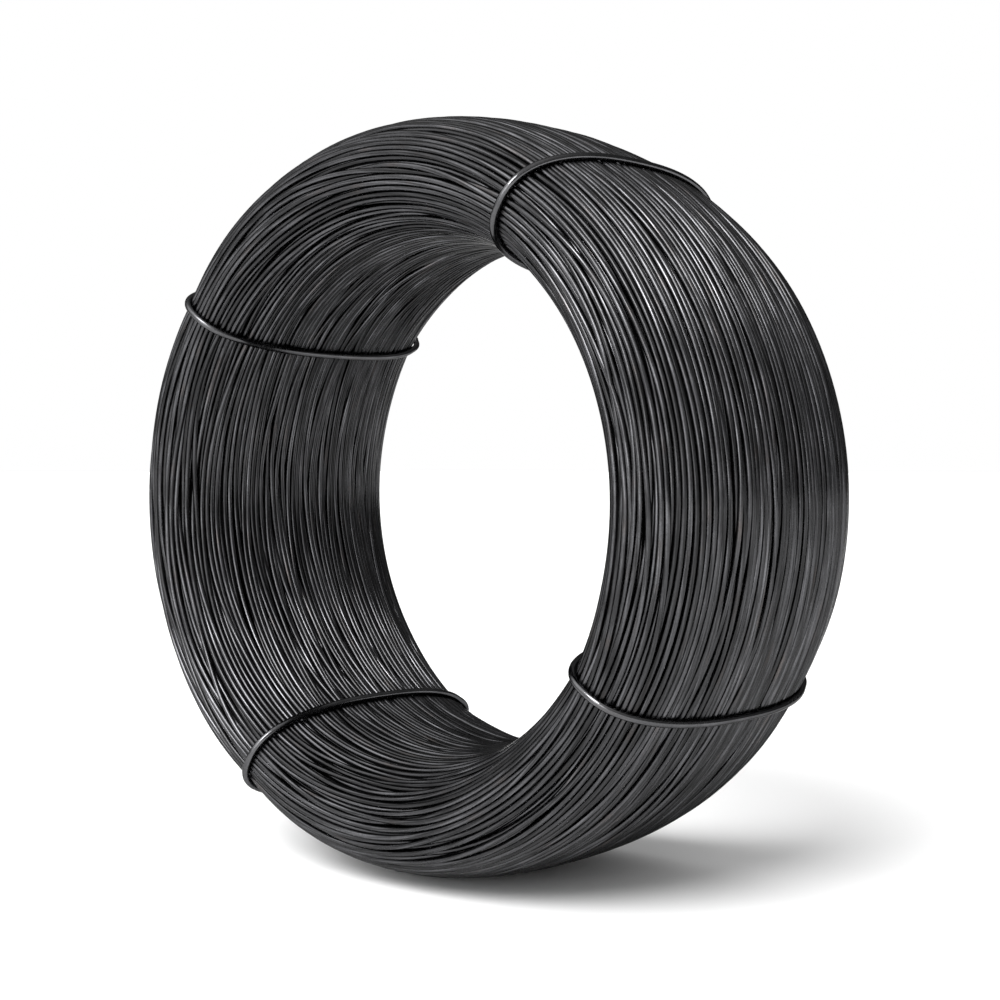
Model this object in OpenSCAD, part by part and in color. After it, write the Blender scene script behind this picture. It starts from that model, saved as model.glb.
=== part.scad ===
// Coil of black annealed wire, standing on its rim, held by four twisted tie wires.
// Millimetres. The coil's axis lies along Y, its front end faces -Y and +Z is up.
// The origin is the middle of the eye.

/* [Coil] */
// Diameter over the outermost turns
coil_od = 304; // [280:2:330]
// Thickness of the winding from the eye to the rim
wound_t = 50; // [40:1:60]
// Width of the coil over its two ends
coil_w = 128; // [110:2:150]
// Shape ratio of the wound section (2 is an ellipse, more is squarer)
squareness_ratio = 2.4; // [2.2:0.1:3]
// Diameter of the coiled wire
wire_d = 2.8; // [2.4:0.1:4]

/* [Ties] */
// Diameter of the tie wire
tie_d = 3.2; // [2.4:0.1:3.6]
// Clearance between a tie and the turns that it holds
tie_gap = 0.25; // [0.2:0.05:0.5]
// Angle of the upper right tie, from +X towards +Z
upper_right_angle = 57; // [45:1:75]
// Angle of the upper left tie
upper_left_angle = 143; // [120:1:165]
// Angle of the lower left tie
lower_left_angle = 238; // [205:1:245]
// Angle of the lower right tie
lower_right_angle = -31; // [-65:1:-10]

/* [Twist] */
// Length of the twisted ends of a tie
twist_len = 28; // [24:1:36]
// Turns in the twisted ends
twist_turns = 2; // [1:0.5:2]
// Clearance between the two wires of a twist
twist_gap = 0.2; // [0.15:0.05:0.4]

/* [Hidden] */

// The wound section: radius of its middle, and half sizes of the curve through the turns' centres
mid_r = (coil_od - wound_t) / 2;
half_t = (wound_t - wire_d) / 2;
half_w = (coil_w - wire_d) / 2;
section_steps = 360;

// The round of a turn that shows, as angles from its outermost point
round_angles = [60, 30, 0, -30, -60];

// A tie's centre line runs this far outside the curve through the turns' centres
tie_off = wire_d / 2 + tie_gap + tie_d / 2;
tie_sides = 8;
loop_steps = 96;

// The twist's two wires wind round an axis that lies flat on the back end
twist_r = (tie_d + twist_gap) / 2;
twist_lift = twist_r;
twist_steps = 26;
// Ratio of the twist over which its winding starts
ease_ratio = 0.3;
bend_r = 1.6 * tie_d;
bend_steps = 6;
// Where the loop starts to leave the turns, and where it reaches the twist's height
lift_from = 7 * tie_d;
lift_to = twist_r + bend_r;

// Point of the section's curve [outward, towards the back]. It starts at the back's middle
// and runs down the eye, across the front and up the rim.
function signed_pow(x, p) = sign(x) * pow(abs(x), p);
function section_point(a) = [
    -half_t * signed_pow(sin(a), 2 / squareness_ratio),
    half_w * signed_pow(cos(a), 2 / squareness_ratio)
];
function unit(v) = v / norm(v);

// The curve's length up to each step, for equal spacing along it
section_points = [for (i = [0 : section_steps]) section_point(360 * i / section_steps)];
section_lengths = [
    for (i = 0, s = 0; i <= section_steps;
        i = i + 1, s = s + (i <= section_steps ? norm(section_points[i] - section_points[i - 1]) : 0)) s
];
perimeter = section_lengths[section_steps];
length_to_u = [for (i = [0 : section_steps]) [section_lengths[i], section_points[i][0]]];
length_to_v = [for (i = [0 : section_steps]) [section_lengths[i], section_points[i][1]]];
function wrap(s) = s - perimeter * floor(s / perimeter);
function along(s) = [lookup(wrap(s), length_to_u), lookup(wrap(s), length_to_v)];

// Outward normal of the section's curve, taken over a short chord
chord = perimeter / 120;
function outward(s) = let (d = unit(along(s + chord) - along(s - chord))) [d[1], -d[0]];

// The turns that show. Their number is a multiple of four, so one lies at the middle of each side.
turns = 4 * round(perimeter / wire_d / 4);
function turn_outline(s) = let (c = along(s), n = outward(s), t = [-n[1], n[0]]) [
    for (a = round_angles) c + wire_d / 2 * (cos(a) * n - sin(a) * t)
];
wound_outline = [for (i = [0 : turns - 1]) each turn_outline(perimeter * i / turns)];

// Path of one tie in its own plane: [radius, towards the back, along the rim]
function ease(x) = let (c = max(0, min(1, x))) c * c * (3 - 2 * c);
function lift(s) = twist_lift * ease((lift_from - min(s, perimeter - s)) / (lift_from - lift_to));
function loop_point(s) = let (p = along(s) + outward(s) * (tie_off + lift(s))) [mid_r + p[0], p[1], 0];
loop_path = [
    for (i = [0 : loop_steps]) loop_point(lift_to + (perimeter - 2 * lift_to) * i / loop_steps)
];

// A twisted end: side is 1 for the wire from the rim and -1 for the wire from the eye
twist_v = half_w + tie_off + twist_lift;
function twist_angle(x) = 360 * twist_turns
    * (x < ease_ratio ? x * x / (2 * ease_ratio) : x - ease_ratio / 2) / (1 - ease_ratio / 2);
function twist_path(side) = [
    for (i = [0 : twist_steps]) let (x = i / twist_steps, a = twist_angle(x)) [
        mid_r + side * twist_r * cos(a),
        twist_v + side * twist_r * sin(a),
        bend_r + twist_len * x
    ]
];
// The bend from the loop into the twist
function bend_path(side) = [
    for (i = [1 : bend_steps - 1]) let (a = 90 * i / bend_steps) [
        mid_r + side * (lift_to - bend_r * sin(a)),
        twist_v,
        bend_r * (1 - cos(a))
    ]
];
function reversed(list) = [for (i = [len(list) - 1 : -1 : 0]) list[i]];
tie_path = concat(
    reversed(twist_path(-1)),
    reversed(bend_path(-1)),
    loop_path,
    bend_path(1),
    twist_path(1)
);

// A round wire along a path, with rings that do not turn about the path
function tangent(path, i) = unit(path[min(i + 1, len(path) - 1)] - path[max(i - 1, 0)]);
function square_to(v, t) = unit(v - (v * t) * t);
module wire_along(path, d, sides, start_normal) {
    last = len(path) - 1;
    normals = [
        for (i = 0, n = square_to(start_normal, tangent(path, 0)); i <= last;
            i = i + 1, n = square_to(n, tangent(path, min(i, last)))) n
    ];
    points = [
        for (i = [0 : last], j = [0 : sides - 1])
            let (a = 360 * j / sides, n = normals[i])
                path[i] + d / 2 * (cos(a) * n + sin(a) * cross(tangent(path, i), n))
    ];
    walls = [
        for (i = [0 : last - 1], j = [0 : sides - 1], half = [0, 1])
            let (a = i * sides + j, b = i * sides + (j + 1) % sides)
                half == 0 ? [a, a + sides, b] : [b, a + sides, b + sides]
    ];
    start_cap = [for (j = [0 : sides - 1]) j];
    end_cap = [for (j = [sides - 1 : -1 : 0]) last * sides + j];
    polyhedron(points, concat(walls, [start_cap, end_cap]), convexity = 10);
}

// One tie: a loop round the section in the plane at the given angle, closed by its twisted ends
module tie(angle) {
    color([0.10, 0.10, 0.11])
        rotate([0, -angle, 0])
            wire_along(tie_path, tie_d, tie_sides, [1, 0, 0]);
}

// The wound wire: the section with the round of every turn that shows, turned about the axis
module wire_coil() {
    color([0.16, 0.16, 0.17])
        rotate([-90, 0, 0])
            rotate_extrude($fn = 180)
                translate([mid_r, 0])
                    polygon(wound_outline);
}

module tie_upper_right() { tie(upper_right_angle); }
module tie_upper_left() { tie(upper_left_angle); }
module tie_lower_left() { tie(lower_left_angle); }
module tie_lower_right() { tie(lower_right_angle); }

wire_coil();
tie_upper_right();
tie_upper_left();
tie_lower_left();
tie_lower_right();
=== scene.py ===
"""Looks of a coil of black annealed wire, laid out as an add-on and run as a script.

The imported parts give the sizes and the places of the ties. Lengths are metres, angles are radians.
The coil's axis is Y, its front end faces -Y and +Z is up. A place on the coil is given by three
numbers: the angle round the axis, the length along the edge of the wound section, and the height
out of that edge.
"""
import math

import bpy
import numpy as np
from mathutils import Matrix, Vector


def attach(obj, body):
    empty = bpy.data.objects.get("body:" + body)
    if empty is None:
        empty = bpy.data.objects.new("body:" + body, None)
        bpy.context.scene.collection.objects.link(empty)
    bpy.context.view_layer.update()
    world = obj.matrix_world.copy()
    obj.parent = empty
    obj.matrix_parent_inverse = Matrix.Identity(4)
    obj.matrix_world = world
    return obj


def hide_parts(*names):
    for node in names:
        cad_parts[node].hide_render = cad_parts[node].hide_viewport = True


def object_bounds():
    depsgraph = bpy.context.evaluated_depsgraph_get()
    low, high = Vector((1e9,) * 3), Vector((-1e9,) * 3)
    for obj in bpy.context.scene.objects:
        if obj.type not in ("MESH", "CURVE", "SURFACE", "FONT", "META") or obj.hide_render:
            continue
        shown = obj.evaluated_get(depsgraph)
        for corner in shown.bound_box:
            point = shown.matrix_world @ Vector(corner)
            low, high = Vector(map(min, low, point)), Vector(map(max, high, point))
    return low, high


bl_info = {
    "name": "Coil of wire",
    "version": (1, 0, 0),
    "blender": (4, 5, 0),
    "location": "3D View > Sidebar > Coil",
    "description": "Builds a loosely wound coil of black wire with its ties and its studio",
    "category": "Object",
}

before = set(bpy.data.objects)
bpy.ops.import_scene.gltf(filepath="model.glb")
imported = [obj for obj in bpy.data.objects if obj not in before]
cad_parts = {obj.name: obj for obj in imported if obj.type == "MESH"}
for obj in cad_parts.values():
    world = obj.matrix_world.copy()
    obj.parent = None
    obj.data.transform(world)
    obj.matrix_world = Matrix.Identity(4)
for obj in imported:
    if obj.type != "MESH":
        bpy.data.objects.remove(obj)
CAD_BOX = [list(corner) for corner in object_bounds()]
BODY = "root"
COIL_NODE = "wire_coil"
TIE_NODES = ("tie_upper_right", "tie_upper_left", "tie_lower_left", "tie_lower_right")
FULL_TURN = 2 * math.pi
MM = 0.001


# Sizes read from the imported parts

def node_points(node):
    """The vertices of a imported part, one row each."""
    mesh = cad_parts[node].data
    flat = np.empty(len(mesh.vertices) * 3, np.float32)
    mesh.vertices.foreach_get("co", flat)
    return flat.reshape(-1, 3).astype(float)


def coil_sizes():
    """Radius over the outer turns, radius inside the inner turns, and width over the ends."""
    points = node_points(COIL_NODE)
    reach = np.abs(points).max(0)
    return min(reach[0], reach[2]), np.hypot(points[:, 0], points[:, 2]).min(), 2 * reach[1]


OUTER_R, EYE_R, COIL_W = coil_sizes()
MID_R = (OUTER_R + EYE_R) / 2


# Settings

class CoilSettings(bpy.types.PropertyGroup):
    """Sizes of the winding."""
    wire_d: bpy.props.FloatProperty(
        name="Wire", description="Diameter of the coiled wire", default=2.2 * MM, unit="LENGTH")
    squareness: bpy.props.FloatProperty(
        name="Squareness", description="Shape of the section: 2 is an ellipse, more is squarer",
        default=2.4)
    layers: bpy.props.IntProperty(
        name="Layers", description="Layers of loose turns over the core", default=3)
    spread: bpy.props.FloatProperty(
        name="Spread", description="Mean spacing of a layer's turns, in wire diameters", default=1.14)
    wander: bpy.props.FloatProperty(
        name="Wander", description="How far one turn strays along the section",
        default=1.3 * MM, unit="LENGTH")
    drift: bpy.props.FloatProperty(
        name="Drift", description="How far a bundle of turns strays together",
        default=1.6 * MM, unit="LENGTH")
    bundles: bpy.props.IntProperty(
        name="Bundles", description="Bundles of turns round the section", default=24, min=2)
    lift: bpy.props.FloatProperty(
        name="Lift", description="How far a turn rises and dives, in wire diameters", default=0.6)
    stiffness: bpy.props.FloatProperty(
        name="Stiffness", description="How strongly a bent turn straightens", default=1.2e-5, precision=7)
    seed: bpy.props.IntProperty(name="Seed", description="Start of the random draws", default=7)


class TieSettings(bpy.types.PropertyGroup):
    """Sizes of the ties."""
    tie_d: bpy.props.FloatProperty(
        name="Tie wire", description="Diameter of the tie wire", default=2.8 * MM, unit="LENGTH")
    gap: bpy.props.FloatProperty(
        name="Clearance", description="Clearance between a packed tie and the packed coil",
        default=0.25 * MM, unit="LENGTH")
    squeeze: bpy.props.FloatProperty(
        name="Squeeze", description="How far a tie draws the turns in under it",
        default=1.0 * MM, unit="LENGTH")
    bite: bpy.props.FloatProperty(
        name="Bite", description="How far a tie sinks into the turns under it",
        default=0.4 * MM, unit="LENGTH")
    held: bpy.props.FloatProperty(
        name="Held", description="How far to each side of a tie its hold fades",
        default=math.radians(8), subtype="ANGLE")
    twist_len: bpy.props.FloatProperty(
        name="Twist", description="Length of the twisted ends", default=28 * MM, unit="LENGTH")
    twist_turns: bpy.props.FloatProperty(
        name="Turns", description="Turns in the twisted ends", default=2.0)
    twist_gap: bpy.props.FloatProperty(
        name="Twist clearance", description="Clearance between the twisted wires",
        default=0.2 * MM, unit="LENGTH")


class FinishSettings(bpy.types.PropertyGroup):
    """Colours and gloss of the wires."""
    wire_colour: bpy.props.FloatVectorProperty(
        name="Wire", description="Colour of the coiled wire",
        default=(0.033, 0.033, 0.035), subtype="COLOR")
    wire_rough: bpy.props.FloatProperty(
        name="Wire roughness", description="Roughness of the coiled wire", default=0.3, subtype="FACTOR")
    tie_colour: bpy.props.FloatVectorProperty(
        name="Tie", description="Colour of the tie wire",
        default=(0.065, 0.065, 0.068), subtype="COLOR")
    tie_rough: bpy.props.FloatProperty(
        name="Tie roughness", description="Roughness of the tie wire", default=0.18, subtype="FACTOR")


class StageSettings(bpy.types.PropertyGroup):
    """Camera and studio."""
    azimuth: bpy.props.FloatProperty(
        name="Azimuth", description="Camera's angle to the right of the axis",
        default=math.radians(41.1), subtype="ANGLE")
    elevation: bpy.props.FloatProperty(
        name="Elevation", description="Camera's angle above the coil's middle",
        default=math.radians(1.19), subtype="ANGLE")
    distance: bpy.props.FloatProperty(
        name="Distance", description="Camera's distance from the coil's middle",
        default=0.699, unit="LENGTH")
    aside: bpy.props.FloatProperty(
        name="Aside", description="How far the camera stands to the right of its line",
        default=0.0103, unit="LENGTH")
    below: bpy.props.FloatProperty(
        name="Below", description="How far the camera stands below its line",
        default=0.0012, unit="LENGTH")
    lens: bpy.props.FloatProperty(
        name="Lens", description="Focal length in millimetres", default=61.15, min=10)
    bright_side: bpy.props.FloatProperty(
        name="Bright side", description="Light from the studio's bright side", default=0.62)
    dim_side: bpy.props.FloatProperty(
        name="Dim side", description="Light from the studio's dim side", default=0.14)
    left_panel: bpy.props.FloatProperty(
        name="Left panel", description="Light from a panel on the camera's left", default=3.6)
    top_panel: bpy.props.FloatProperty(
        name="Top panel", description="Light from a wide panel overhead", default=0.4)
    side_panel: bpy.props.FloatProperty(
        name="Side panel", description="Light from a wide panel up on the camera's left side", default=1.7)
    key_power: bpy.props.FloatProperty(
        name="Key power", description="Strength of the soft key light", default=3.3)
    key_angle: bpy.props.FloatProperty(
        name="Key angle", description="How wide the key light looks from the coil",
        default=math.radians(30), subtype="ANGLE")


# The wound section

class Section:
    """The edge of the wound section as a table by length.

    The edge is the curve |u / half_t|^n + |v / half_w|^n = 1 through the centres of the outer turns,
    with u out from the section's middle and v along the axis. It starts at the back's middle and runs
    down the eye, across the front and up the rim.
    """
    # Points of the curve, and rows of the table
    fine = 8000
    rows = 1200

    def __init__(self, wire_d, squareness):
        half_t = (OUTER_R - EYE_R - wire_d) / 2
        half_w = (COIL_W - wire_d) / 2
        turn = np.linspace(0, FULL_TURN, self.fine + 1)
        power = 2 / squareness
        u = -half_t * np.sign(np.sin(turn)) * np.abs(np.sin(turn)) ** power
        v = half_w * np.sign(np.cos(turn)) * np.abs(np.cos(turn)) ** power
        length = np.concatenate([[0], np.cumsum(np.hypot(np.diff(u), np.diff(v)))])
        self.half_t, self.half_w = half_t, half_w
        self.perimeter = length[-1]
        self.s = np.arange(self.rows) * self.perimeter / self.rows
        self.u = np.interp(self.s, length, u)
        self.v = np.interp(self.s, length, v)
        du, dv = self.slope(self.u), self.slope(self.v)
        size = np.hypot(du, dv)
        self.nu, self.nv = self.smooth(dv / size), self.smooth(-du / size)
        bend = np.hypot(self.slope(self.nu), self.slope(self.nv)) * self.rows / self.perimeter / 2
        self.curvature = self.smooth(bend)

    def slope(self, values):
        """Difference of the two neighbours of each row, round the closed edge."""
        return np.roll(values, -1) - np.roll(values, 1)

    def smooth(self, values, passes=12):
        """Average of each row with its neighbours, repeated."""
        for _ in range(passes):
            values = (np.roll(values, 1) + 2 * values + np.roll(values, -1)) / 4
        return values

    def read(self, values, s):
        """A column of the table at the lengths s."""
        return np.interp(s, self.s, values, period=self.perimeter)

    def place(self, s, h):
        """Radius from the axis and place along the axis of points at length s and height h."""
        radius = MID_R + self.read(self.u, s) + h * self.read(self.nu, s)
        axial = self.read(self.v, s) + h * self.read(self.nv, s)
        return radius, axial


class TiePlace:
    """Where a tie crosses the winding.

    Its angle round the axis is angle + lean v + slant u, with u out and v to the back from the
    section's middle, both in half sizes of the tie's loop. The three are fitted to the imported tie's
    points in front of its twist.
    """
    # Share of the half width behind which the twist may begin
    twist_from = 0.8

    def __init__(self, node, section, off):
        self.half_u, self.half_v = section.half_t + off, section.half_w + off
        points = node_points(node)
        front = points[points[:, 1].argmin()]
        start = math.atan2(front[2], front[0])
        loop = points[points[:, 1] < self.twist_from * section.half_w]
        flat = (loop[:, 0] + 1j * loop[:, 2]) * np.exp(-1j * start)
        terms = self.terms(np.abs(flat), loop[:, 1])
        self.fit = np.linalg.lstsq(terms, np.angle(flat), rcond=None)[0]
        self.fit[0] += start

    def terms(self, radius, axial):
        """The three terms of the angle at points of the section."""
        return np.stack([np.ones_like(radius), axial / self.half_v, (radius - MID_R) / self.half_u], -1)

    def angle(self, radius, axial):
        """Angle of the tie round the axis at points of the section."""
        return self.terms(radius, axial) @ self.fit


def tie_places(context, section):
    """Places of the four ties, and how far their centre lines run outside the outer turns' centres."""
    ties = context.scene.coil_ties
    off = context.scene.coil_settings.wire_d / 2 + ties.gap + ties.tie_d / 2
    return [TiePlace(node, section, off) for node in TIE_NODES], off


# The winding

def closed_noise(rng, rows, angles, waves, fall):
    """Smooth noise for each row that closes after a full turn: cosines of 1 to waves periods."""
    k = np.arange(1, waves + 1)
    size = rng.normal(size=(rows, waves)) * k ** -fall
    phase = rng.uniform(0, FULL_TURN, (rows, waves))
    waves_by_row = np.cos(k[None, :, None] * angles + phase[:, :, None])
    noise = (size[:, :, None] * waves_by_row).sum(1)
    return noise / noise.std()


def push_apart(s, h, section, wire_d, reach, tiny=1e-9):
    """Moves that part overlapping turns: of each pair nearer than a diameter, each goes half the
    overlap its own way. Every turn meets the next ones within reach in order of place."""
    stretch = 1 + h * section.read(section.curvature, s)
    move_s = np.zeros_like(s)
    move_h = np.zeros_like(h)
    for k in range(1, reach + 1):
        next_s = np.roll(s, -k, 0)
        next_s[-k:] += section.perimeter
        across = (next_s - s) * stretch
        up = np.roll(h, -k, 0) - h
        gap = np.sqrt(across ** 2 + up ** 2) + tiny
        share = np.maximum(wire_d - gap, 0) / gap / 2
        part_s = across * share / stretch
        part_h = up * share
        move_s += np.roll(part_s, k, 0) - part_s
        move_h += np.roll(part_h, k, 0) - part_h
    return move_s, move_h


def shared_drift(rng, place, angles, bundles):
    """Noise that neighbouring turns share: a closed curve for each bundle, blended between bundles."""
    curves = closed_noise(rng, bundles, angles, waves=3, fall=0.6)
    low = np.floor(place * bundles).astype(int)
    part = (place * bundles - low)[:, None]
    part = part * part * (3 - 2 * part)
    return curves[low % bundles] * (1 - part) + curves[(low + 1) % bundles] * part


def held_share(section, place, angles, places, reach):
    """How firmly the ties hold each turn at each station: 1 under a tie, less over the angle reach."""
    radius, axial = section.place(section.perimeter * place, 0)
    share = np.zeros((len(place), len(angles)))
    for tie in places:
        away = np.angle(np.exp(1j * (angles - tie.angle(radius, axial)[:, None])))
        share = np.maximum(share, np.exp(-(away / reach) ** 2))
    return share


def wind(section, settings, ties, places, stations=144, rounds=200, reach=18, push=0.7, pull=0.02):
    """Closed turns of a loose winding as lengths s and heights h, one row a turn, one column a station.

    The turns start in layers, wander slowly and drift in bundles, less so where a tie holds them. Then,
    round by round, turns that overlap part by the share push, each is drawn back towards its own height
    by the share pull, none rises over the roof, and each straightens: its wave of k periods shrinks by
    1 / (1 + stiffness k^4), as a bent wire springs back. The roof is the height of the outer turns,
    drawn in under the ties.
    """
    rng = np.random.default_rng(settings.seed)
    angles = np.arange(stations) * FULL_TURN / stations
    wire_d = settings.wire_d
    # Layers of round wires lie this far apart where each lies between two below it
    rise = wire_d * math.sqrt(3) / 2
    rows, heights = [], []
    for layer in range(settings.layers):
        count = int(section.perimeter / (wire_d * settings.spread))
        spacing = 1 + (settings.spread - 1) * rng.exponential(size=count)
        rows.append(np.cumsum(spacing) / spacing.sum() % 1)
        heights.append(np.full(count, -rise * layer))
    place, height = np.concatenate(rows), np.concatenate(heights)
    order = np.argsort(place)
    place, height = place[order], height[order]
    count = len(place)
    held = held_share(section, place, angles, places, ties.held)
    free = 1 - held
    roof = -ties.squeeze * held
    strays = settings.drift * shared_drift(rng, place, angles, settings.bundles)
    strays = strays + settings.wander * closed_noise(rng, count, angles, waves=5, fall=1.0)
    s = section.perimeter * place[:, None] + free * strays
    rises = free * settings.lift * wire_d * closed_noise(rng, count, angles, waves=5, fall=0.7)
    home = np.minimum(height[:, None] + rises, 0) + roof
    h = home
    waves = np.arange(stations // 2 + 1.0)
    keep = 1 / (1 + settings.stiffness * waves ** 4)
    for _ in range(rounds):
        move_s, move_h = push_apart(s, h, section, wire_d, reach)
        s = s + push * move_s
        h = np.minimum(h + push * move_h + pull * (home - h), roof)
        s = np.fft.irfft(np.fft.rfft(s, axis=1) * keep, stations, axis=1)
        h = np.fft.irfft(np.fft.rfft(h, axis=1) * keep, stations, axis=1)
    return s, np.minimum(h, roof)


def resample(values, steps):
    """Closed rows carried to another number of stations through their cosine waves."""
    waves = np.fft.rfft(values, axis=1)
    return np.fft.irfft(waves, steps, axis=1) * steps / values.shape[1]


# Meshes

def new_piece(name, points, faces, attributes, material, slot, nodes):
    """Adds a smooth mesh object from rows of points and blocks of faces, riding on the coil."""
    mesh = bpy.data.meshes.new(name)
    sizes = np.concatenate([np.full(len(block), block.shape[1]) for block in faces])
    corners = np.concatenate([block.ravel() for block in faces])
    mesh.vertices.add(len(points))
    mesh.vertices.foreach_set("co", points.astype(np.float32).ravel())
    mesh.loops.add(len(corners))
    mesh.loops.foreach_set("vertex_index", corners.astype(np.int32))
    mesh.polygons.add(len(sizes))
    mesh.polygons.foreach_set("loop_start", (np.cumsum(sizes) - sizes).astype(np.int32))
    mesh.polygons.foreach_set("use_smooth", np.ones(len(sizes), bool))
    for label, values in attributes.items():
        attribute = mesh.attributes.new(label, "FLOAT_VECTOR", "POINT")
        attribute.data.foreach_set("vector", values.astype(np.float32).ravel())
    mesh.update(calc_edges=True)
    mesh.validate()
    mesh.materials.append(material)
    piece = bpy.data.objects.new(name, mesh)
    bpy.context.scene.collection.objects.link(piece)
    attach(piece, BODY)
    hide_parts(*nodes)


def grid_faces(rows, columns, close_rows, close_columns):
    """Quads of a grid of points numbered row by row."""
    i = np.arange(rows if close_rows else rows - 1)[:, None]
    j = np.arange(columns if close_columns else columns - 1)[None, :]
    next_i, next_j = (i + 1) % rows, (j + 1) % columns
    quads = [i * columns + j, next_i * columns + j, next_i * columns + next_j, i * columns + next_j]
    return np.stack(np.broadcast_arrays(*quads), -1).reshape(-1, 4)


def ring_tubes(section, s, h, wire_d, sides, steps, seeds):
    """Closed round wires along the turns: at angle a and side b the point lies at
    (radius + r cos b) (cos a, sin a) in X and Z and at axial + r sin b along Y."""
    s, h = resample(s, steps), resample(h, steps)
    radius, axial = section.place(s, h)
    a = np.arange(steps) * FULL_TURN / steps
    b = np.arange(sides) * FULL_TURN / sides
    out = radius[:, :, None] + wire_d / 2 * np.cos(b)
    y = axial[:, :, None] + wire_d / 2 * np.sin(b)
    points = np.stack([out * np.cos(a)[:, None], y, out * np.sin(a)[:, None]], -1)
    lay = np.empty_like(points)
    lay[..., 0] = np.cos(b)
    lay[..., 1] = np.sin(b)
    lay[..., 2] = seeds[:, None, None]
    one = grid_faces(steps, sides, True, True)[:, ::-1]
    faces = (np.arange(len(s))[:, None, None] * steps * sides + one).reshape(-1, 4)
    return points.reshape(-1, 3), [faces], {"wire_lay": lay.reshape(-1, 3)}


def core_ring(section, depth, sides=120, steps=180):
    """The closed core under the loose turns: the section's edge set in by depth and turned about Y."""
    s = np.arange(sides) * section.perimeter / sides
    radius, axial = section.place(s, -depth)
    a = np.arange(steps)[:, None] * FULL_TURN / steps
    y = np.broadcast_to(axial, (steps, sides))
    points = np.stack([radius * np.cos(a), y, radius * np.sin(a)], -1).reshape(-1, 3)
    return points, [grid_faces(steps, sides, True, True)], {}


def path_tube(path, d, sides, start_normal):
    """A round wire with closed ends along a path. Each ring stands square to the path, and its first
    side follows the ring before it, so the rings do not turn about the path."""
    ahead = np.gradient(path, axis=0)
    ahead /= np.linalg.norm(ahead, axis=1)[:, None]
    normals = np.empty_like(path)
    normal = np.array(start_normal, float)
    for i, t in enumerate(ahead):
        normal = normal - normal.dot(t) * t
        normal /= np.linalg.norm(normal)
        normals[i] = normal
    side = np.cross(ahead, normals)
    b = np.arange(sides) * FULL_TURN / sides
    rings = np.cos(b)[None, :, None] * normals[:, None] + np.sin(b)[None, :, None] * side[:, None]
    points = path[:, None] + d / 2 * rings
    lay = np.empty_like(points)
    lay[..., 0] = np.cos(b)
    lay[..., 1] = np.sin(b)
    lay[..., 2] = 0
    last = (len(path) - 1) * sides
    caps = [np.arange(sides)[None, ::-1], last + np.arange(sides)[None, :]]
    walls = grid_faces(len(path), sides, False, True)[:, ::-1]
    return points.reshape(-1, 3), [walls] + caps, {"wire_lay": lay.reshape(-1, 3)}


# Finishes

def new_material(name):
    """An empty node material, its tree and its shader."""
    material = bpy.data.materials.new(name)
    material.use_nodes = True
    tree = material.node_tree
    return material, tree, tree.nodes["Principled BSDF"]


def set_inputs(shader, values):
    """Sets the values that are the same all over the surface on the shader's own sockets."""
    for name, value in values.items():
        shader.inputs[name].default_value = value


class Nodes:
    """Short ways to add and link nodes in a tree."""

    def __init__(self, tree):
        self.tree = tree

    def add(self, kind, inputs=(), **settings):
        """A node with its settings and its inputs, which are sockets or values by name or number."""
        node = self.tree.nodes.new(kind)
        for name, value in settings.items():
            setattr(node, name, value)
        for key, value in dict(inputs).items():
            socket = node.inputs[key]
            if isinstance(value, bpy.types.NodeSocket):
                self.tree.links.new(value, socket)
            else:
                socket.default_value = value
        return node

    def math(self, operation, a, b):
        """The result of one sum."""
        return self.add("ShaderNodeMath", {0: a, 1: b}, operation=operation).outputs[0]

    def vector(self, operation, *inputs):
        """The result of one sum of vectors."""
        return self.add("ShaderNodeVectorMath", enumerate(inputs), operation=operation).outputs[0]

    def dot(self, a, b):
        """How far one vector reaches along another."""
        return self.add("ShaderNodeVectorMath", {0: a, 1: b}, operation="DOT_PRODUCT").outputs["Value"]

    def noise(self, vector, scale, detail=2.0, rough=0.5):
        """A noise value from 0 to 1."""
        inputs = {"Vector": vector, "Scale": scale, "Detail": detail, "Roughness": rough}
        return self.add("ShaderNodeTexNoise", inputs).outputs[0]

    def between(self, value, low, high, to_low=0.0, to_high=1.0):
        """A value carried from one span to another, smoothly and held at its ends."""
        inputs = {
            "Value": value,
            "From Min": low,
            "From Max": high,
            "To Min": to_low,
            "To Max": to_high,
        }
        return self.add("ShaderNodeMapRange", inputs, interpolation_type="SMOOTHSTEP").outputs[0]

    def mix(self, share, a, b):
        """A blend of two colours."""
        node = self.add("ShaderNodeMix", {"Factor": share}, data_type="RGBA")
        for socket, value in ((node.inputs[6], a), (node.inputs[7], b)):
            if isinstance(value, bpy.types.NodeSocket):
                self.tree.links.new(value, socket)
            else:
                socket.default_value = (*value, 1)
        return node.outputs[2]


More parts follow.
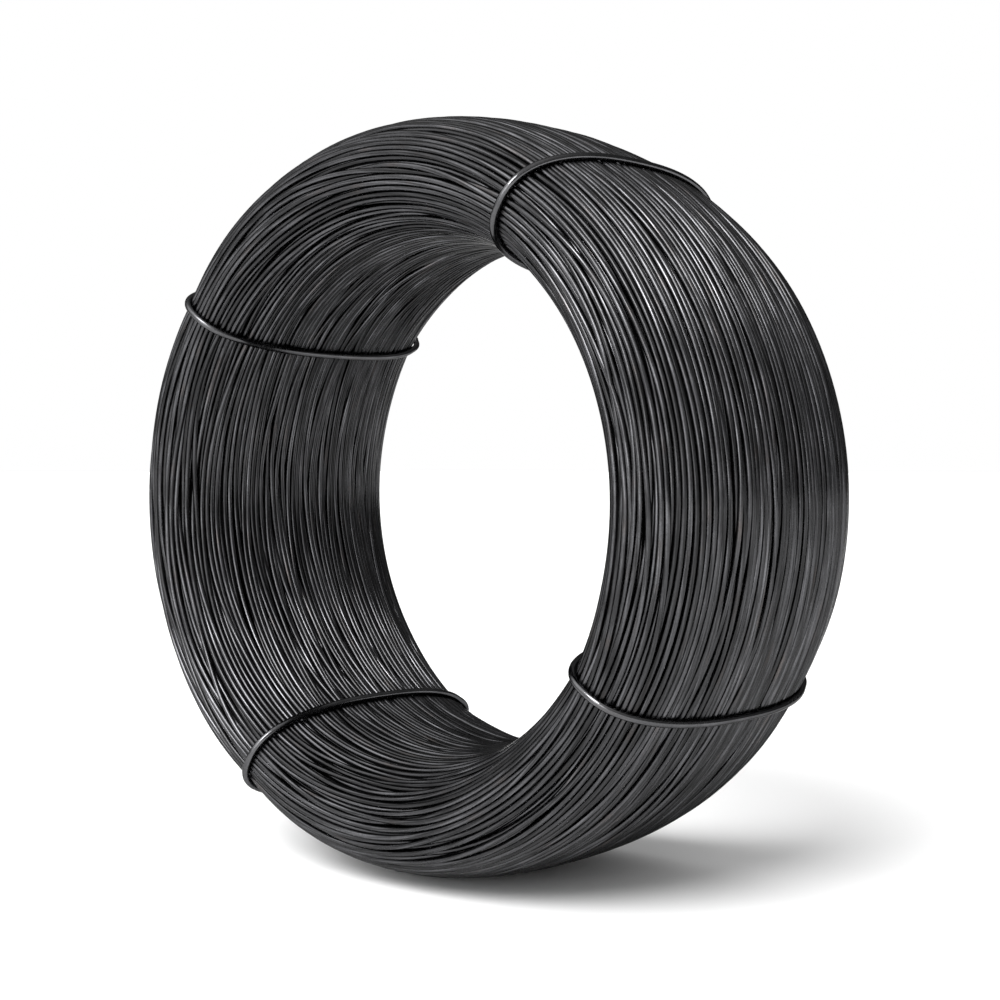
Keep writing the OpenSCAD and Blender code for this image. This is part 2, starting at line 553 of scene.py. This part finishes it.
def annealed_wire(name, colour, rough, strand_range, line_range, line_depth, brown):
    """Black annealed wire: a dark oxide skin with drawn lines, rubbed lengths and a brown bloom.

    The drawn lines read the side b of the wire as (K cos b + L x / R, K sin b + L z / R, M seed), so
    they run along the wire, change slowly round the coil and meet without a seam. The other patterns
    are set apart by each wire's seed. strand_range is the span of tone from wire to wire, line_range
    that from line to line, line_depth the depth of a line and brown the most of the bloom.
    """
    # Steps of the drawn lines across a wire and by its seed, round the coil, and of the other patterns
    line_steps = (0.9, 0.9, 90)
    coil_steps = (5 / MID_R,) * 3
    seed_steps = (0, 0, 7)

    def shade(*factors):
        """The skin's colour with each channel times its factor."""
        return tuple(factor * channel for factor, channel in zip(factors, colour))

    material, tree, shader = new_material(name)
    nodes = Nodes(tree)
    place = nodes.add("ShaderNodeTexCoord").outputs["Object"]
    lay = nodes.add("ShaderNodeAttribute", attribute_name="wire_lay").outputs["Vector"]
    seed = nodes.add("ShaderNodeSeparateXYZ", {0: lay}).outputs["Z"]
    spot = nodes.add("ShaderNodeSeparateXYZ", {0: place}).outputs
    along = nodes.add("ShaderNodeCombineXYZ", {"X": spot["X"], "Y": spot["Z"]}).outputs[0]
    far = nodes.vector("MULTIPLY", along, coil_steps)
    side = nodes.vector("MULTIPLY_ADD", lay, line_steps, far)
    own = nodes.vector("ADD", place, nodes.vector("MULTIPLY", lay, seed_steps))
    lines = nodes.noise(side, scale=1.6, detail=3, rough=0.6)
    lengths = nodes.noise(own, scale=28)
    cloud = nodes.noise(own, scale=75, detail=3)
    stain = nodes.noise(own, scale=46, detail=4, rough=0.6)
    grain = nodes.noise(own, scale=1500, detail=3, rough=0.65)
    rubbed = nodes.math("MULTIPLY", nodes.between(lines, 0.52, 0.72), nodes.between(lengths, 0.42, 0.66))

    strand_tone = nodes.between(seed, 0, 1, *strand_range)
    grain_tone = nodes.between(grain, 0.25, 0.75, 0.8, 1.2)
    line_tone = nodes.between(lines, 0.35, 0.65, *line_range)
    tone = nodes.math("MULTIPLY", nodes.math("MULTIPLY", strand_tone, grain_tone), line_tone)
    skin = nodes.mix(nodes.between(cloud, 0.35, 0.7), colour, shade(1.45, 1.45, 1.45))
    skin = nodes.mix(nodes.between(stain, 0.56, 0.78, 0, brown), skin, shade(1.9, 1.45, 1.15))
    skin = nodes.mix(nodes.math("MULTIPLY", rubbed, 0.6), skin, shade(2.6, 2.6, 2.6))
    tree.links.new(nodes.vector("MULTIPLY", skin, tone), shader.inputs["Base Color"])

    length_gloss = nodes.between(lengths, 0.3, 0.7, 0.09, -0.07)
    grain_gloss = nodes.between(grain, 0.3, 0.7, -0.04, 0.05)
    rubbed_gloss = nodes.math("MULTIPLY", rubbed, -0.08)
    gloss = nodes.math("ADD", nodes.math("ADD", length_gloss, grain_gloss), rubbed_gloss)
    tree.links.new(nodes.math("ADD", gloss, rough), shader.inputs["Roughness"])
    set_inputs(shader, {
        "Metallic": 1.0,
        "Specular Tint": (0.12, 0.12, 0.12, 1),
        "Coat Weight": 0.35,
        "Coat Roughness": 0.14,
    })

    height = nodes.math("ADD", lines, nodes.math("MULTIPLY", grain, 0.2))
    bump = nodes.add("ShaderNodeBump", {"Height": height, "Strength": 0.5, "Distance": line_depth})
    tree.links.new(bump.outputs[0], shader.inputs["Normal"])
    return material


def core_painted_shade(name, colour):
    """The turns deep in the coil, dull, with painted shade: their colour is darkened to between half and
    all of the wire's colour, for the shade inside the coil.
    """
    material, tree, shader = new_material(name)
    nodes = Nodes(tree)
    place = nodes.add("ShaderNodeTexCoord").outputs["Object"]
    grain = nodes.noise(place, scale=400, detail=3)
    # Painted shade: half the wire's colour, blended in by a grain noise, stands in for the shade deep in
    # the coil
    painted_shade = tuple(0.5 * channel for channel in colour)
    tree.links.new(nodes.mix(grain, painted_shade, colour), shader.inputs["Base Color"])
    tree.links.new(nodes.between(grain, 0.3, 0.7, 0.6, 0.8), shader.inputs["Roughness"])
    return material


# Operators

class COIL_OT_winding(bpy.types.Operator):
    """Adds the loose turns of the coil and the core under them"""
    bl_idname = "coil.winding"
    bl_label = "Winding"
    # Sides of a turn and steps round it, for turns that show and for each depth below
    outer_grid = (8, 192)
    deep_grids = ((6, 128), (5, 112))
    # Depths in wire diameters at which the second and the third layer begin
    second_from = 0.62
    third_from = 1.45

    def execute(self, context):
        settings = context.scene.coil_settings
        finish = context.scene.coil_finish
        wire_d = settings.wire_d
        section = Section(wire_d, settings.squareness)
        s, h = wind(section, settings, context.scene.coil_ties, tie_places(context, section)[0])
        seeds = np.random.default_rng(settings.seed + 1).uniform(0, 1, len(s))
        material = annealed_wire(
            "annealed_wire", finish.wire_colour, finish.wire_rough,
            strand_range=(0.6, 1.45), line_range=(0.35, 1.5), line_depth=0.04 * MM, brown=0.4)
        depth = -h.mean(1) / wire_d
        quarter = (s.mean(1) / section.perimeter * 4 + 0.5) % 4
        pieces = {}
        for number, side in enumerate(("back", "eye", "front", "rim")):
            here = (quarter >= number) & (quarter < number + 1)
            pieces["turns_" + side] = (here & (depth < self.second_from), *self.outer_grid)
        second = (depth >= self.second_from) & (depth < self.third_from)
        pieces["turns_second"] = (second, *self.deep_grids[0])
        pieces["turns_third"] = (depth >= self.third_from, *self.deep_grids[1])
        for name, (rows, sides, steps) in pieces.items():
            shape = ring_tubes(section, s[rows], h[rows], wire_d, sides, steps, seeds[rows])
            new_piece(name, *shape, material, "coil_wire", [COIL_NODE])
        core = core_ring(section, depth.max() * wire_d)
        # The core's material paints the shade inside the coil into its colour
        painted_shade = core_painted_shade("core_painted_shade", finish.wire_colour)
        new_piece("turns_core", *core, painted_shade, "coil_wire", [COIL_NODE])
        return {"FINISHED"}


class COIL_OT_ties(bpy.types.Operator):
    """Adds the four ties with their twisted ends"""
    bl_idname = "coil.ties"
    bl_label = "Ties"
    sides = 16
    loop_steps = 320
    bend_steps = 14
    twist_steps = 90
    # In tie diameters: the radius of the bend into the twist, and where the loop starts to leave the turns
    bend_ratio = 1.6
    lift_ratio = 7
    # Share of the twist over which its winding starts
    ease = 0.3

    def execute(self, context):
        coil = context.scene.coil_settings
        settings = context.scene.coil_ties
        finish = context.scene.coil_finish
        section = Section(coil.wire_d, coil.squareness)
        places, off = tie_places(context, section)
        # These ties lie on the turns that they draw in, and sink in a little
        drawn_off = off - settings.gap - settings.squeeze - settings.bite
        radius, axial, ahead = self.path(section, drawn_off, settings).T
        material = annealed_wire(
            "tie_wire", finish.tie_colour, finish.tie_rough,
            strand_range=(1.0, 1.0), line_range=(0.9, 1.1), line_depth=0.015 * MM, brown=0.1)
        for node, tie in zip(TIE_NODES, places):
            a = tie.angle(radius, axial)
            cos, sin = np.cos(a), np.sin(a)
            placed = np.stack([radius * cos - ahead * sin, axial, radius * sin + ahead * cos], 1)
            shape = path_tube(placed, settings.tie_d, self.sides, (cos[0], 0, sin[0]))
            new_piece(node + "_wire", *shape, material, "tie_wire", [node])
        return {"FINISHED"}

    def path(self, section, off, settings):
        """Centre line of a tie before it is placed: radius, place along the axis, place round the coil.

        The loop follows the section's edge at the height off and rises at the back. Each end then bends
        through a quarter circle into the twist, whose two wires wind round one another as a helix.
        """
        tie_d = settings.tie_d
        twist_r = (tie_d + settings.twist_gap) / 2
        bend_r = self.bend_ratio * tie_d
        lift_to = twist_r + bend_r
        lift_from = self.lift_ratio * tie_d
        s = np.linspace(lift_to, section.perimeter - lift_to, self.loop_steps)
        from_twist = np.minimum(s, section.perimeter - s)
        nearness = np.clip((lift_from - from_twist) / (lift_from - lift_to), 0, 1)
        lift = twist_r * nearness ** 2 * (3 - 2 * nearness)
        radius, axial = section.place(s, off + lift)
        loop = np.stack([radius, axial, np.zeros_like(s)], 1)
        twist_v = section.half_w + off + twist_r
        turn = np.arange(1, self.bend_steps) / self.bend_steps * math.pi / 2
        x = np.linspace(0, 1, self.twist_steps)
        ease = self.ease
        wound = np.where(x < ease, x * x / (2 * ease), x - ease / 2) / (1 - ease / 2)
        a = FULL_TURN * settings.twist_turns * wound

        def end(side):
            """Bend and twist of the wire from the rim, side 1, or from the eye, side -1."""
            bend = np.stack([
                MID_R + side * (lift_to - bend_r * np.sin(turn)),
                np.full_like(turn, twist_v),
                bend_r * (1 - np.cos(turn)),
            ], 1)
            twist = np.stack([
                MID_R + side * twist_r * np.cos(a),
                twist_v + side * twist_r * np.sin(a),
                bend_r + settings.twist_len * x,
            ], 1)
            return np.concatenate([bend, twist])

        return np.concatenate([end(-1)[::-1], loop, end(1)])


class COIL_OT_stage(bpy.types.Operator):
    """Adds the floor, the lights and the camera"""
    bl_idname = "coil.stage"
    bl_label = "Stage"
    floor_half = 30.0
    # Ways to the lights from the coil, as shares of back to the camera, right and up
    bright_way = (0.65, -0.6, 0.6)
    key_way = (0.66, -0.36, 0.66)
    # The studio's light rises from dim to bright between these nearnesses to the bright way
    bright_span = (-0.7, 0.8)
    # Each panel's setting, the way to its middle, and the nearness to that way at which it fades out
    panels = (
        ("left_panel", (0.85, -0.5, 0.12), 0.86),
        ("top_panel", (0.3, -0.1, 0.95), 0.6),
        ("side_panel", (0.2, -0.72, 0.66), 0.75),
    )
    panel_full = 0.985

    def execute(self, context):
        self.add_floor(context)
        self.add_lights(context)
        self.add_camera(context)
        return {"FINISHED"}

    def add_floor(self, context):
        """A wide pale floor just under the coil."""
        half = self.floor_half
        low = CAD_BOX[0][2]
        mesh = bpy.data.meshes.new("floor")
        corners = [(-half, -half, low), (half, -half, low), (half, half, low), (-half, half, low)]
        mesh.from_pydata(corners, [], [(0, 1, 2, 3)])
        material, _, shader = new_material("pale_floor")
        pale = (0.97, 0.97, 0.97, 1)
        set_inputs(shader, {"Base Color": pale, "Roughness": 0.6, "Specular IOR Level": 0.2})
        mesh.materials.append(material)
        floor = bpy.data.objects.new("floor", mesh)
        context.scene.collection.objects.link(floor)

    def add_lights(self, context):
        """A studio that is bright up on the camera's left and dim on its right, with a low panel on the
        left, one overhead and one high on the left side, and a soft key light. The camera sees white."""
        settings = context.scene.coil_stage
        world = bpy.data.worlds.new("studio")
        context.scene.world = world
        world.use_nodes = True
        nodes = Nodes(world.node_tree)
        seen_way = nodes.add("ShaderNodeTexCoord").outputs["Generated"]
        nearness = nodes.dot(seen_way, self.way(settings, self.bright_way).normalized())
        studio = nodes.between(nearness, *self.bright_span, settings.dim_side, settings.bright_side)
        for name, middle, edge in self.panels:
            nearness = nodes.dot(seen_way, self.way(settings, middle).normalized())
            panel = nodes.between(nearness, edge, self.panel_full, 0, getattr(settings, name))
            studio = nodes.math("ADD", studio, panel)
        seen = nodes.add("ShaderNodeLightPath").outputs["Is Camera Ray"]
        strength = nodes.add("ShaderNodeMix", {"Factor": seen, 2: studio, 3: 1.0}).outputs[0]
        background = world.node_tree.nodes["Background"]
        background.inputs["Color"].default_value = (1, 1, 1, 1)
        world.node_tree.links.new(strength, background.inputs["Strength"])
        key = bpy.data.lights.new("key_light", "SUN")
        key.energy = settings.key_power
        key.angle = settings.key_angle
        lamp = bpy.data.objects.new("key_light", key)
        lamp.location = self.way(settings, self.key_way)
        lamp.rotation_euler = lamp.location.to_track_quat("Z", "Y").to_euler()
        context.scene.collection.objects.link(lamp)

    def camera_axes(self, settings):
        """The directions to the camera's right, up, and back from the coil to the camera."""
        a, e = settings.azimuth, settings.elevation
        back = Vector((math.sin(a) * math.cos(e), -math.cos(a) * math.cos(e), math.sin(e)))
        right = Vector((math.cos(a), math.sin(a), 0))
        return right, back.cross(right), back

    def way(self, settings, shares):
        """A direction from its shares of back, right and up."""
        right, up, back = self.camera_axes(settings)
        return shares[0] * back + shares[1] * right + shares[2] * up

    def add_camera(self, context):
        """The camera stands at its distance, looks along its line and is set aside and below it."""
        settings = context.scene.coil_stage
        right, up, back = self.camera_axes(settings)
        camera = bpy.data.cameras.new("camera")
        camera.lens = settings.lens
        camera.sensor_width = 36
        view = bpy.data.objects.new("camera", camera)
        place = back * settings.distance + right * settings.aside - up * settings.below
        view.matrix_world = Matrix.Translation(place) @ Matrix((right, up, back)).transposed().to_4x4()
        context.scene.collection.objects.link(view)
        context.scene.camera = view
        context.scene.view_settings.view_transform = "Standard"


class COIL_PT_panel(bpy.types.Panel):
    """Lists the settings and the steps"""
    bl_idname = "COIL_PT_panel"
    bl_label = "Coil of wire"
    bl_space_type = "VIEW_3D"
    bl_region_type = "UI"
    bl_category = "Coil"

    def draw(self, context):
        for group in SETTINGS:
            settings = getattr(context.scene, group)
            for name in settings.bl_rna.properties.keys():
                if name not in ("rna_type", "name"):
                    self.layout.prop(settings, name)
        for step in STEPS:
            self.layout.operator(step.bl_idname)


SETTINGS = {
    "coil_settings": CoilSettings,
    "coil_ties": TieSettings,
    "coil_finish": FinishSettings,
    "coil_stage": StageSettings,
}
STEPS = (COIL_OT_winding, COIL_OT_ties, COIL_OT_stage)
CLASSES = (*SETTINGS.values(), *STEPS, COIL_PT_panel)


def register():
    """Makes the classes known and hangs the settings on the scene."""
    for cls in CLASSES:
        bpy.utils.register_class(cls)
    for name, group in SETTINGS.items():
        setattr(bpy.types.Scene, name, bpy.props.PointerProperty(type=group))


def unregister():
    """Takes the settings and the classes away again."""
    for name in SETTINGS:
        delattr(bpy.types.Scene, name)
    for cls in reversed(CLASSES):
        bpy.utils.unregister_class(cls)


def main():
    """Runs every step in order."""
    register()
    bpy.ops.coil.winding()
    bpy.ops.coil.ties()
    bpy.ops.coil.stage()


if __name__ == "__main__":
    main()
